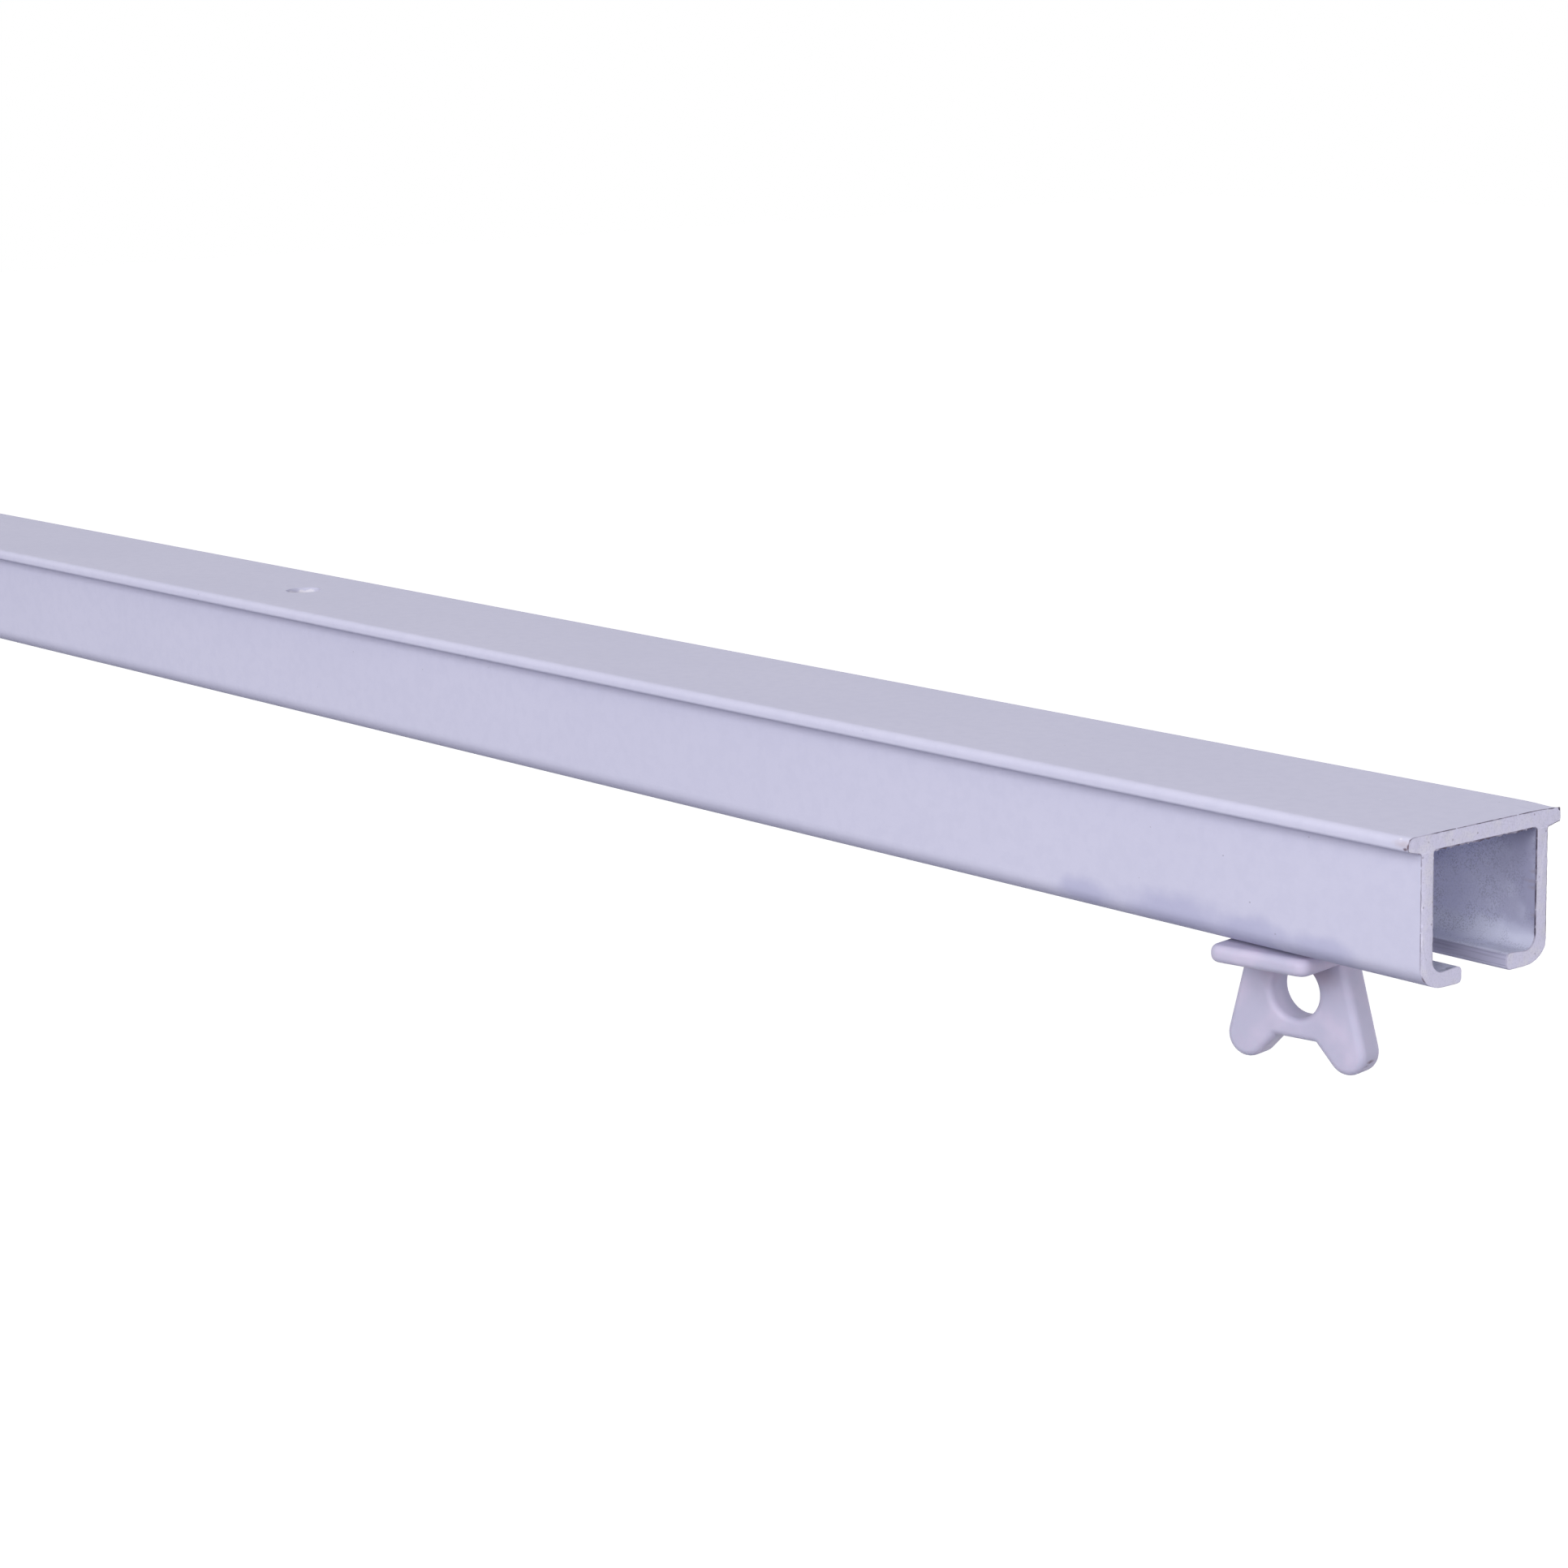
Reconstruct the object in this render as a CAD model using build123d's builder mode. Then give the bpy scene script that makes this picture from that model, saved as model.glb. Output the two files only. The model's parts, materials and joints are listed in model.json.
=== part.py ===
"""Ceiling curtain track: a flanged box rail with a slot below, and one roller runner in it.

Millimetres, +Z up. The rail runs along X. The origin is the centre of the rail's top face,
which is the face that is screwed to the ceiling. The runner stands near the sawn end at +X.
"""
from build123d import *
from math import radians, tan
import os

os.makedirs("parts", exist_ok=True)

# Rail, an aluminium extrusion
rail_length = 600.0
rail_height = 14.0
flange_width = 20.0  # over both flange edges
box_width = 16.6  # outside of the two side walls
wall = 1.5
top_thickness = 1.5
flange_edge = 1.25  # thickness at the flange's outer edge
flange_root = 1.65  # thickness where the flange leaves the wall
flange_nose_radius = 0.75
flange_under_radius = 0.35
flange_root_radius = 0.3
slot_width = 6.0
lip_thickness = 1.6  # at the slot
lip_fall = 0.3  # the lip's upper face falls this much towards the wall
lip_edge_radius = 0.5
channel_corner = 1.3  # between lip and wall
channel_roof_corner = 0.3
sole_corner_across = 3.0  # the outside bottom corner is a quarter ellipse
sole_corner_up = 2.1

# Screw holes in the top, one in from each end
screw_hole_diameter = 4.5
screw_hole_inset = 197.0

# Where the runner stands, and how far its play in the slot lets it turn about +Z
runner_inset = 21.75
runner_turn = 9.5

# Wheels and axle
wheel_edge_bevel = 0.35
wheel_recess = 0.6  # depth of the dished outer face
wheel_rim = 1.0
wheel_hub_wall = 1.1
rolling_gap = 0.1  # under each wheel
roof_gap = 1.8  # over each wheel
wall_gap = 0.9  # between a rivet head and the side wall
axle_diameter = 2.0
axle_fit = 0.02  # radial, the axle in the runner
bore_fit = 0.06  # radial, a wheel on the axle
side_play = 0.1  # each side of a wheel
rivet_diameter = 3.4
rivet_height = 0.6
rivet_bevel = 0.4

# Runner, one nylon moulding: head, neck, guard plate and two-footed eye
neck_length = 8.0  # along the rail
neck_gap = 0.9  # each side of the neck in the slot
neck_edge_bevel = 0.4
head_wall = 2.3  # round the axle
spacer_wall = 0.8  # ring that keeps a wheel off the head
spacer_height = 0.3
plate_gap = 0.2  # between the lips and the guard plate
plate_length = 10.9  # along the rail
plate_inset = 0.4  # from the outside of each side wall
plate_thickness = 1.7
plate_corner = 1.2
plate_edge_radius = 0.5
eye_thickness = 3.2
eye_top_width = 11.0
eye_edge_radius = 0.8
eye_diameter = 5.2
eye_drop = 3.3  # the hole's centre below the plate
eye_rim_radius = 0.6
leg_splay = 14.8  # degrees off upright, the outer side of a leg
foot_radius = 2.1
notch_width = 4.4
notch_drop = 7.9  # roof of the notch below the plate
notch_splay = 43.2  # degrees off upright, the inner side of a leg
notch_radius = 0.3

# Heights and places that follow from these
rail_sole = -rail_height
lip_top = rail_sole + lip_thickness
box_half = box_width / 2
channel_half = box_half - wall
axle_radius = axle_diameter / 2
wheel_radius = (-top_thickness - roof_gap - lip_top - rolling_gap) / 2
axle_height = lip_top + rolling_gap + wheel_radius
neck_width = slot_width - 2 * neck_gap
wheel_inner_face = neck_width / 2 + spacer_height + side_play
rivet_seat = channel_half - wall_gap - rivet_height
wheel_outer_face = rivet_seat - side_play
wheel_width = wheel_outer_face - wheel_inner_face
plate_top = rail_sole - plate_gap
plate_under = plate_top - plate_thickness
plate_width = box_width - 2 * plate_inset
runner_x = rail_length / 2 - runner_inset

# The two sides of a leg would meet in a point below its foot, which is rounded off
leg_slope = tan(radians(leg_splay))
notch_slope = tan(radians(notch_splay))
leg_top_span = (eye_top_width - notch_width) / 2
apex_drop = (leg_top_span + notch_drop * notch_slope) / (notch_slope - leg_slope)
foot_apex = Vector(eye_top_width / 2 + apex_drop * leg_slope, plate_under - apex_drop)
notch_corner = Vector(notch_width / 2, plate_under - notch_drop)

# Directions of the turned runner, and the upright plane through its middle
along = Vector(1, 0, 0).rotate(Axis.Z, runner_turn)
across = Vector(0, 1, 0).rotate(Axis.Z, runner_turn)
runner_foot = Vector(runner_x, 0, 0)
axle_centre = Vector(runner_x, 0, axle_height)
upright = Plane(origin=runner_foot, x_dir=along, z_dir=-across)


def turned_level(height):
    """The runner's own horizontal plane at a height."""
    return Plane(origin=(runner_x, 0, height), x_dir=along, z_dir=(0, 0, 1))


def on_face(edges, distance):
    """Those edges that lie in the upright plane moved by a distance across the rail."""
    return edges.filter_by_position(Axis(runner_foot, across), distance - 0.01, distance + 0.01)


def round_corner(builder, point, radius):
    """Round the corner of a sketch that is nearest to a point."""
    fillet(builder.vertices().sort_by_distance(point)[0], radius)


# Rail: half of its section is drawn, rounded and mirrored, then run out along X
with BuildPart() as rail:
    with BuildSketch(Plane.YZ.offset(-rail_length / 2)) as section:
        with BuildLine():
            top_face = Line((0, 0), (flange_width / 2, 0))
            flange_nose = Line(top_face @ 1, (flange_width / 2, -flange_edge))
            flange_under = Line(flange_nose @ 1, (box_half, -flange_root))
            side = Line(flange_under @ 1, (box_half, rail_sole + sole_corner_up))
            EllipticalCenterArc(
                center=(box_half - sole_corner_across, rail_sole + sole_corner_up),
                x_radius=sole_corner_across,
                y_radius=sole_corner_up,
                start_angle=0,
                arc_size=-90,
            )
            sole = Line((box_half - sole_corner_across, rail_sole), (slot_width / 2, rail_sole))
            lip_nose = Line(sole @ 1, (slot_width / 2, lip_top))
            lip_face = Line(lip_nose @ 1, (channel_half, lip_top - lip_fall))
            channel_side = Line(lip_face @ 1, (channel_half, -top_thickness))
            channel_roof = Line(channel_side @ 1, (0, -top_thickness))
            Line(channel_roof @ 1, top_face @ 0)
        make_face()
        round_corner(section, flange_nose @ 0, flange_nose_radius)
        round_corner(section, flange_nose @ 1, flange_under_radius)
        round_corner(section, side @ 0, flange_root_radius)
        round_corner(section, lip_nose @ 0, lip_edge_radius)
        round_corner(section, lip_nose @ 1, lip_edge_radius)
        round_corner(section, lip_face @ 1, channel_corner)
        round_corner(section, channel_side @ 1, channel_roof_corner)
        mirror(about=Plane.YZ)
    extrude(amount=rail_length)
    hole_x = rail_length / 2 - screw_hole_inset
    with Locations((-hole_x, 0, 0), (hole_x, 0, 0)):
        Hole(radius=screw_hole_diameter / 2, depth=top_thickness)
rail.part.label = "rail"

# Runner moulding
with BuildPart() as runner_body:
    # Guard plate under the rail, rounded all the way round
    with BuildSketch(turned_level(plate_under)):
        RectangleRounded(plate_length, plate_width, plate_corner)
    extrude(amount=plate_thickness)
    fillet(runner_body.edges().group_by(Axis.Z)[0], plate_edge_radius)
    fillet(runner_body.edges().group_by(Axis.Z)[-1], plate_edge_radius)

    # Two-footed eye below the plate: one half of its outline, mirrored
    with BuildSketch(upright) as eye_outline:
        with BuildLine():
            eye_root = Line((0, plate_top), (neck_length / 2, plate_top))
            shoulder = Line(eye_root @ 1, (eye_top_width / 2, plate_under))
            leg_side = Line(shoulder @ 1, foot_apex)
            notch_side = Line(leg_side @ 1, notch_corner)
            notch_roof = Line(notch_side @ 1, (0, notch_corner.Y))
            Line(notch_roof @ 1, eye_root @ 0)
        make_face()
        round_corner(eye_outline, foot_apex, foot_radius)
        round_corner(eye_outline, notch_corner, notch_radius)
        mirror(about=Plane.YZ)
    extrude(amount=eye_thickness / 2, both=True)
    for face in (-eye_thickness / 2, eye_thickness / 2):
        outline = on_face(runner_body.edges(), face).filter_by(
            lambda edge: edge.center().Z < plate_under - 0.01
        )
        fillet(outline, eye_edge_radius)

    # Hole of the eye, with rounded rims
    with BuildSketch(upright):
        with Locations((0, plate_under - eye_drop)):
            Circle(eye_diameter / 2)
    extrude(amount=eye_thickness, both=True, mode=Mode.SUBTRACT)
    for face in (-eye_thickness / 2, eye_thickness / 2):
        rim = on_face(runner_body.edges(), face).filter_by(GeomType.CIRCLE)
        fillet(rim.sort_by_distance((runner_x, 0, plate_under - eye_drop))[0], eye_rim_radius)

    # Neck through the slot, and the head that carries the axle
    with BuildSketch(upright):
        with Locations((0, (plate_top + lip_top) / 2)):
            Rectangle(neck_length, lip_top - plate_top)
        with Locations((0, axle_height)):
            Circle(axle_radius + head_wall)
        make_hull()
    extrude(amount=neck_width / 2, both=True)
    for face in (-neck_width / 2, neck_width / 2):
        outline = on_face(runner_body.edges(), face).filter_by(
            lambda edge: edge.center().Z > plate_top + 0.01
        )
        chamfer(outline, neck_edge_bevel)
    with BuildSketch(upright):
        with Locations((0, axle_height)):
            Circle(axle_radius + spacer_wall)
    extrude(amount=neck_width / 2 + spacer_height, both=True)
    with BuildSketch(upright):
        with Locations((0, axle_height)):
            Circle(axle_radius + axle_fit)
    extrude(amount=neck_width, both=True, mode=Mode.SUBTRACT)
runner_body.part.label = "runner_body"

# Axle, with a bevelled rivet head at each end
with BuildPart() as axle:
    with BuildSketch(Plane(origin=axle_centre, x_dir=across, z_dir=along)) as axle_half:
        Rectangle(rivet_seat, axle_radius, align=Align.MIN)
        with Locations((rivet_seat, 0)):
            Rectangle(rivet_height, rivet_diameter / 2, align=Align.MIN)
        rivet_rim = (rivet_seat + rivet_height, rivet_diameter / 2)
        chamfer(axle_half.vertices().sort_by_distance(rivet_rim)[0], rivet_bevel)
        mirror(about=Plane.YZ)
    revolve(axis=Axis(axle_centre, across))
axle.part.label = "axle"


def make_wheel(side):
    """One wheel, turned from its half section. side is -1 nearer the front and 1 behind."""
    with BuildPart() as wheel:
        with BuildSketch(Plane(origin=axle_centre, x_dir=across * side, z_dir=along * side)) as half:
            bore = axle_radius + bore_fit
            with Locations((wheel_inner_face, bore)):
                Rectangle(wheel_width, wheel_radius - bore, align=Align.MIN)
            chamfer(half.vertices().group_by(Axis.Y)[-1], wheel_edge_bevel)
            hub = bore + wheel_hub_wall
            with Locations((wheel_outer_face - wheel_recess, hub)):
                Rectangle(
                    wheel_recess, wheel_radius - wheel_rim - hub, align=Align.MIN, mode=Mode.SUBTRACT
                )
        revolve(axis=Axis(axle_centre, across))
    return wheel


near_wheel = make_wheel(-1)
near_wheel.part.label = "near_wheel"
far_wheel = make_wheel(1)
far_wheel.part.label = "far_wheel"

for piece in (rail, runner_body, axle, near_wheel, far_wheel):
    export_step(piece.part, f"parts/{piece.part.label}.step")

print("axle at X", round(runner_x, 2), "Z", round(axle_height, 2))
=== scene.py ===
import json
import math

import bmesh
import bpy
from mathutils import Matrix, Vector


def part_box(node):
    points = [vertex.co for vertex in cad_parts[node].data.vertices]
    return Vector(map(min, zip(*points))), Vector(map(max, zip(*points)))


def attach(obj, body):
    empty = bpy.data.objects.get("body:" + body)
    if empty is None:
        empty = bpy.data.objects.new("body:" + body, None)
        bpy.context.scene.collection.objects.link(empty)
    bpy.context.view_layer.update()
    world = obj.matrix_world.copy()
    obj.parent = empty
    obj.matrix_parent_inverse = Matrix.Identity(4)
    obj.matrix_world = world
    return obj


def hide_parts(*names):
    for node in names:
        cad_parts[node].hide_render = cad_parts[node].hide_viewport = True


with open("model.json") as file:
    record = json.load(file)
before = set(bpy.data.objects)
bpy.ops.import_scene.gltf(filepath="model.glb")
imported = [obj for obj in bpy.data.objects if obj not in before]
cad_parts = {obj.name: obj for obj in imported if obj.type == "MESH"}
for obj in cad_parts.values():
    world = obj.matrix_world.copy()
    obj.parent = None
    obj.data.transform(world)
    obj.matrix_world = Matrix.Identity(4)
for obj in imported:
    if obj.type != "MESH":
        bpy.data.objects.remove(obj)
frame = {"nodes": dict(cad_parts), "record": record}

mm = 0.001
close = 0.01 * mm  # places nearer than this count as one
margin, slack = 0.1, 0.05  # millimetres of room where faces and points are told apart by place
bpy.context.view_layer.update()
railLow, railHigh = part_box("rail")
sawnEnd = railHigh.x / mm
mounts = {mount["name"]: mount for mount in frame["record"]["mounts"]}
print("frame loaded:", ", ".join(sorted(frame["nodes"])))


# Small helpers for working as by hand

def pick(*pieces):
    if bpy.context.mode != "OBJECT":
        bpy.ops.object.mode_set(mode="OBJECT")
    bpy.ops.object.select_all(action="DESELECT")
    for piece in pieces:
        piece.select_set(True)
    bpy.context.view_layer.objects.active = pieces[-1]


def editPiece(piece, kind="FACE"):
    pick(piece)
    bpy.ops.object.mode_set(mode="EDIT")
    bpy.ops.mesh.select_mode(type=kind)
    bpy.ops.mesh.select_all(action="DESELECT")


def leaveEdit():
    bpy.ops.object.mode_set(mode="OBJECT")


def selectAll():
    bpy.ops.mesh.select_all(action="SELECT")


def selectWhere(piece, kind, test):  # kind is faces, edges or verts
    mesh = bmesh.from_edit_mesh(piece.data)
    for item in getattr(mesh, kind):
        if test(item):
            item.select_set(True)
    mesh.select_flush_mode()
    bmesh.update_edit_mesh(piece.data)


def selectFaces(piece, test):  # test takes a face's middle in millimetres and its normal
    bpy.ops.mesh.select_all(action="DESELECT")
    selectWhere(piece, "faces", lambda face: test(face.calc_center_median() / mm, face.normal))


def assign(piece, material):  # to the selected faces
    piece.active_material_index = piece.data.materials.find(material.name)
    bpy.ops.object.material_slot_assign()


def middleOf(edge):
    return (edge.verts[0].co + edge.verts[1].co) / 2


def applyModifiers(piece):
    pick(piece)
    for name in [modifier.name for modifier in piece.modifiers]:
        bpy.ops.object.modifier_apply(modifier=name)


def applyPlace(piece):
    pick(piece)
    bpy.ops.object.transform_apply(location=True, rotation=True, scale=True)


def combine(piece, tool, operation):  # the tool is used up
    cut = piece.modifiers.new("combine", "BOOLEAN")
    cut.operation = operation
    cut.object = tool
    cut.solver = "EXACT"
    applyModifiers(piece)
    bpy.data.objects.remove(tool)


def addBlock(low, high):
    middle = (Vector(high) + Vector(low)) / 2
    bpy.ops.mesh.primitive_cube_add(size=1, location=middle, scale=Vector(high) - Vector(low))
    block = bpy.context.object
    applyPlace(block)
    return block


def addRod(radius, length, place, axis="Y", sides=64):
    turn = (math.pi / 2, 0, 0) if axis == "Y" else (0, 0, 0)
    bpy.ops.mesh.primitive_cylinder_add(
        vertices=sides, radius=radius, depth=length, location=place, rotation=turn)
    rod = bpy.context.object
    applyPlace(rod)
    return rod


def smooth(piece, angle):
    pick(piece)
    bpy.ops.object.shade_smooth_by_angle(angle=math.radians(angle))


# Outlines: corners with a radius each, or two cuts for a corner that is a quarter ellipse

def roundedCorner(before, corner, after, radius, steps):
    towards = (before - corner).normalized()
    away = (after - corner).normalized()
    turns = [step / steps for step in range(steps + 1)]
    if isinstance(radius, tuple):
        return [corner + towards * radius[0] * (1 - math.sin(turn * math.pi / 2))
                + away * radius[1] * (1 - math.cos(turn * math.pi / 2)) for turn in turns]
    if radius == 0:
        return [corner]
    half = towards.angle(away) / 2
    centre = corner + (towards + away).normalized() * radius / math.sin(half)
    start = corner + towards * radius / math.tan(half) - centre
    sweep = math.pi - 2 * half
    if towards.x * away.y > towards.y * away.x:
        sweep = -sweep
    return [centre + Matrix.Rotation(turn * sweep, 2) @ start for turn in turns]


def roundedOutline(corners, steps, longest):  # straight stretches are split where they are longer
    places = [Vector(corner[:2]) for corner in corners]
    loop = []
    for index, corner in enumerate(corners):
        after = places[(index + 1) % len(places)]
        loop += roundedCorner(places[index - 1], places[index], after, corner[2], steps)
    points = []
    for index, point in enumerate(loop):
        previous = loop[index - 1]
        parts = max(1, math.ceil((point - previous).length / longest))
        points += [previous.lerp(point, part / parts) for part in range(1, parts + 1)]
    return points


def mirroredCorners(half):
    other = []
    for across, up, radius in reversed(half):
        other.append((-across, up, radius[::-1] if isinstance(radius, tuple) else radius))
    return list(half) + other


def outlineFace(name, points, place):  # place turns a point of the outline into a point in space
    mesh = bpy.data.meshes.new(name)
    mesh.from_pydata([place(point) for point in points], [], [range(len(points))])
    piece = bpy.data.objects.new(name, mesh)
    bpy.context.scene.collection.objects.link(piece)
    return piece


# Shader maths as expressions, and one way to make every other node

class Wire:
    def __init__(self, finish, socket):
        self.finish = finish
        self.socket = socket

    def maths(self, operation, first, second):
        return self.finish.node("ShaderNodeMath", {"operation": operation}, {0: first, 1: second})

    def __add__(self, other):
        return self.maths("ADD", self, other)

    def __mul__(self, other):
        return self.maths("MULTIPLY", self, other)

    def __sub__(self, other):
        return self.maths("SUBTRACT", self, other)

    def __rsub__(self, other):
        return self.maths("SUBTRACT", other, self)

    __radd__ = __add__
    __rmul__ = __mul__


class Finish:  # sizes and places in millimetres
    def __init__(self, name, **settings):
        self.material = bpy.data.materials.new(name)
        self.material.use_nodes = True
        self.nodes = self.material.node_tree.nodes
        self.links = self.material.node_tree.links
        self.shader = self.nodes["Principled BSDF"]
        for key, value in settings.items():
            self.shader.inputs[key.replace("_", " ")].default_value = value
        metres = self.node("ShaderNodeTexCoord", output="Object")
        self.place = self.node("ShaderNodeVectorMath", {"operation": "SCALE"},
                               {0: metres, "Scale": 1 / mm})

    def node(self, kind, settings=None, inputs=None, output=0):
        made = self.nodes.new(kind)
        for key, value in (settings or {}).items():
            setattr(made, key, value)
        for key, value in (inputs or {}).items():
            if isinstance(value, Wire):
                self.links.new(value.socket, made.inputs[key])
            else:
                made.inputs[key].default_value = value
        return Wire(self, made.outputs[output])

    def feed(self, **wires):
        for key, wire in wires.items():
            self.links.new(wire.socket, self.shader.inputs[key.replace("_", " ")])

    def vector(self, operation, first, second, output=0):
        return self.node("ShaderNodeVectorMath", {"operation": operation},
                         {0: first, 1: second}, output)

    def noise(self, size, detail=3.0, stretch=(1, 1, 1), **others):  # size of a blotch
        where = self.vector("DIVIDE", self.place, [size * part for part in stretch])
        return self.node("ShaderNodeTexNoise",
                         inputs={"Vector": where, "Scale": 1.0, "Detail": detail})

    def step(self, value, low, high):  # 0 at low and 1 at high, whichever is larger
        return self.node("ShaderNodeMapRange", {"interpolation_type": "SMOOTHSTEP"},
                         {"Value": value, "From Min": low, "From Max": high})

    def patches(self, low, high, strength=1.0, **layer):  # where the layer's noise is over low
        return self.step(self.noise(**layer), low, high) * strength

    def pits(self, apart, edge, core, strength, ragged=0.0, raggedSize=0.5):
        # edge and core are shares of the distance apart
        away = self.node("ShaderNodeTexVoronoi", inputs={"Vector": self.place, "Scale": 1 / apart})
        if ragged:
            away = away + self.noise(raggedSize, 2.0) * ragged
        return self.step(away, edge, core) * strength

    def axis(self, name):  # one coordinate
        return self.node("ShaderNodeSeparateXYZ", inputs={0: self.place}, output=name)

    def spot(self, middle, size, core, ragged=0.5, turn=0.0):
        # size is its half extents: it is full up to core, as a share of them, and gone at 1
        where = self.place
        if turn:
            where = self.node("ShaderNodeVectorRotate", {"rotation_type": "Z_AXIS"},
                              {"Vector": where, "Center": middle, "Angle": math.radians(turn)})
        away = self.vector("DIVIDE", self.vector("SUBTRACT", where, middle), size)
        reach = self.vector("LENGTH", away, (0, 0, 0), "Value")
        wander = (self.noise(min(size) * 0.8) - 0.5) * ragged
        return self.step(reach + wander, 1.0, core)

    def mix(self, factor, first, second):
        return self.node("ShaderNodeMix", {"data_type": "RGBA"},
                         {0: factor, 6: first, 7: second}, 2)

    def relief(self, *layers):  # bumps, each over the ones before it
        normal = None
        for layer in layers:
            inputs = {"Height": self.noise(**layer), "Distance": layer["depth"] * mm,
                      "Strength": 1.0}
            if normal:
                inputs["Normal"] = normal
            normal = self.node("ShaderNodeBump", inputs=inputs)
        return normal


def colour(red, green, blue):
    return (red, green, blue, 1.0)


def grey(level):
    return colour(level, level, level)


# Powder coat of the rail, with the marks that the photo shows

coat = {
    "colour": colour(0.60, 0.592, 0.745), "shade": colour(0.555, 0.55, 0.705),
    # the smudge colour paints darker patches low on the near side and a painted shadow line on the
    # top
    "warm": colour(0.62, 0.60, 0.72), "smudge": colour(0.41, 0.41, 0.60),
    "pit": colour(0.25, 0.23, 0.32), "chip": colour(0.13, 0.08, 0.11),
    # the pale colour also paints light on the screw holes' walls and rims
    "stain": colour(0.47, 0.40, 0.44), "pale": colour(0.80, 0.78, 0.86),
    "gloss": 0.012, "roughness": 0.46, "roughnessSpread": 0.15,
    "cloud": {"size": 14.0, "stretch": (2.2, 1, 1), "low": 0.35, "high": 0.7, "strength": 0.3},
    "mottle": {"size": 1.3, "low": 0.4, "high": 0.65, "strength": 0.35},
    "grain": {"size": 0.32, "low": 0.45, "high": 0.8, "strength": 0.12},
    "pits": {"apart": 3.4, "edge": 0.03, "core": 0.015, "strength": 0.5},
    "drawn": {"size": 0.4, "detail": 1.0, "stretch": (60, 1, 1), "depth": 0.004},
    "peel": {"size": 0.55, "detail": 2.0, "depth": 0.012},
}
holeOut = mounts["screw_holes"]["dims"]["spacing_x_mm"] / 2
coatMarks = (  # colour, strength, place from the sawn end, half sizes, clear core, turn in degrees
    # darker blurred patches low on the near side
    ("smudge", 0.65, (-42.5, -8.3, -12.2), (5.2, 4, 2.0), 0.3, 0),
    ("smudge", 0.65, (-30.0, -8.3, -12.2), (10.5, 4, 2.7), 0.3, 0),
    ("smudge", 0.65, (-20.0, -8.3, -12.2), (5.8, 4, 2.2), 0.3, 0),
    ("smudge", 0.6, (-12.0, -8.3, -12.4), (6.0, 4, 1.9), 0.3, 0),
    ("pit", 0.6, (-24.0, -8.3, -5.6), (0.12, 0.2, 0.09), 0.5, 0),
    ("pit", 0.5, (-20.6, -8.3, -9.4), (0.14, 0.2, 0.1), 0.5, 0),
    ("pit", 0.5, (-17.4, -8.3, -11.8), (0.16, 0.2, 0.1), 0.5, 0),
    ("pit", 0.4, (-33.5, -8.3, -4.4), (0.1, 0.2, 0.08), 0.5, 0),
    # painted light on the screw holes' walls and rims, paler than the coat
    ("pale", 0.9, (holeOut - sawnEnd, 0, -0.75), (2.6, 2.6, 0.95), 0.85, 0),
    ("pale", 0.9, (-holeOut - sawnEnd, 0, -0.75), (2.6, 2.6, 0.95), 0.85, 0),
    ("pale", 0.7, (-12.85, 0.49, 0), (0.22, 0.14, 0.3), 0.3, 0),
    # painted shadow line on the top, at the edge of the far flange's bend
    ("smudge", 0.6, (-1.65, 6.94, 0), (1.7, 0.07, 0.3), 0.2, 10.6),
)
endMarks = (  # the same, on the coat and on its torn edge alike
    ("stain", 0.55, (-0.7, -10, -0.6), (1.5, 0.7, 0.55), 0.1, 0),
    ("pale", 0.8, (-1.12, -9.9, -0.16), (0.26, 0.3, 0.16), 0.3, 0),
    ("chip", 0.85, (-0.42, -10, -1.0), (0.36, 0.4, 0.2), 0.3, 0),
    ("chip", 0.95, (-0.05, -10, -0.75), (0.24, 0.5, 0.34), 0.3, 0),
    ("chip", 0.8, (-0.05, -9.8, -0.14), (0.2, 0.3, 0.16), 0.3, 0),
    ("chip", 0.8, (0, -8.75, -1.62), (0.2, 0.5, 0.16), 0.3, 0),
    ("chip", 0.7, (0, -7.85, -12.9), (0.2, 0.45, 0.6), 0.3, 0),
)


def addMarks(finish, body, marks):
    for what, strength, (x, y, z), size, core, turn in marks:
        mark = finish.spot((sawnEnd + x, y, z), size, core, turn=turn)
        body = finish.mix(mark * strength, body, coat[what])
    return body


def makeCoat():
    paint = Finish("powder_coat", Specular_IOR_Level=coat["gloss"])
    body = paint.mix(paint.patches(**coat["cloud"]), coat["colour"], coat["shade"])
    body = paint.mix(paint.patches(**coat["mottle"]), body, coat["shade"])
    body = paint.mix(paint.patches(**coat["grain"]), body, coat["warm"])
    body = paint.mix(paint.pits(**coat["pits"]), body, coat["pit"])
    grain = paint.noise(**coat["grain"])
    paint.feed(
        Base_Color=addMarks(paint, body, coatMarks + endMarks),
        Roughness=(grain - 0.5) * coat["roughnessSpread"] + coat["roughness"],
        Normal=paint.relief(coat["drawn"], coat["peel"]))
    return paint.material


# Bare aluminium of the sawn ends

sawn = {
    "colour": colour(0.60, 0.58, 0.74), "warm": colour(0.64, 0.62, 0.72),
    "dull": colour(0.50, 0.485, 0.62), "pit": colour(0.30, 0.27, 0.36),
    "metallic": 0.15, "gloss": 0.4, "roughness": 0.55, "roughnessSpread": 0.3,
    "mottle": {"size": 1.3, "detail": 4.0, "low": 0.42, "high": 0.75},
    "dullPatches": {"size": 0.45, "low": 0.5, "high": 0.8, "strength": 0.45},
    "dullGrain": {"size": 0.2, "detail": 2.0, "low": 0.5, "high": 0.65, "strength": 0.55},
    "pits": {"apart": 1.1, "edge": 0.18, "core": 0.12, "strength": 0.7, "ragged": 0.12},
    "dents": {"size": 0.3, "depth": 0.02},
    "teeth": {"size": 0.16, "detail": 2.0, "stretch": (1, 1, 14), "depth": 0.008},
}


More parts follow.
